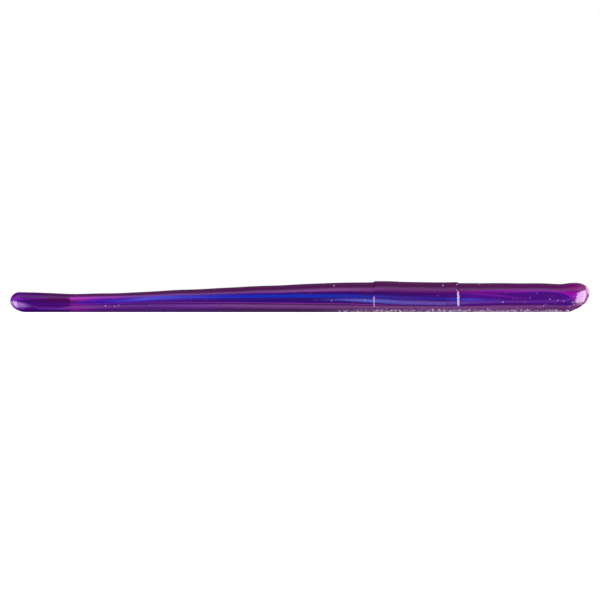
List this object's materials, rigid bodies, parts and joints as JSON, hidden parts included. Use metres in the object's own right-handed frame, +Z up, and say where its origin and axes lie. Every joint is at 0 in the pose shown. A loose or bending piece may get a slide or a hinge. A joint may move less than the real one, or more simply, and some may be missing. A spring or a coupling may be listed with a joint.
{
  "type": "soft plastic worm",
  "caption": "Straight-tail soft plastic worm with a flat belly, a raised egg-sac collar, a flattened tail and a layered body that bends.",
  "frame": {"origin": "under the middle of the worm, on the flat belly's plane", "axes": "+X along the worm towards its nose, +Z up from the flat belly, +Y to the worm's left side"},
  "size_m": [0.1524, 0.0082, 0.0082],
  "materials": {
    "back_plastisol": "glossy",
    "core_plastisol": "glossy pearl",
    "belly_plastisol": "glossy",
    "glitter_foil": "metallised foil"
  },
  "bodies": {
    "head": {"head_back_pour": "back_plastisol", "head_core": "core_plastisol", "head_belly_pour": "belly_plastisol", "head_glitter": "glitter_foil"},
    "fore": {"fore_back_pour": "back_plastisol", "fore_core": "core_plastisol", "fore_belly_pour": "belly_plastisol", "fore_glitter": "glitter_foil"},
    "mid": {"mid_back_pour": "back_plastisol", "mid_core": "core_plastisol", "mid_belly_pour": "belly_plastisol", "mid_glitter": "glitter_foil"},
    "rear": {"rear_back_pour": "back_plastisol", "rear_core": "core_plastisol", "rear_belly_pour": "belly_plastisol", "rear_glitter": "glitter_foil"},
    "tail": {"tail_back_pour": "back_plastisol", "tail_core": "core_plastisol", "tail_belly_pour": "belly_plastisol", "tail_glitter": "glitter_foil"}
  },
  "joints": [
    {"name": "front_bend", "type": "hinge", "parent": "head", "child": "fore", "pos_m": [0.012, 0, 0.0038], "axis": [0, 0, 1], "range_deg": [-25, 25], "stiffness_Nm_per_rad": 0.0002},
    {"name": "middle_bend", "type": "hinge", "parent": "fore", "child": "mid", "pos_m": [-0.012, 0, 0.0033], "axis": [0, 0, 1], "range_deg": [-30, 30], "stiffness_Nm_per_rad": 0.0002},
    {"name": "rear_bend", "type": "hinge", "parent": "mid", "child": "rear", "pos_m": [-0.036, 0, 0.0028], "axis": [0, 0, 1], "range_deg": [-35, 35], "stiffness_Nm_per_rad": 0.0002},
    {"name": "tail_lift", "type": "hinge", "parent": "rear", "child": "tail", "pos_m": [-0.057, 0, 0.0024], "axis": [0, 1, 0], "range_deg": [0, 40], "stiffness_Nm_per_rad": 0.0002}
  ]
}
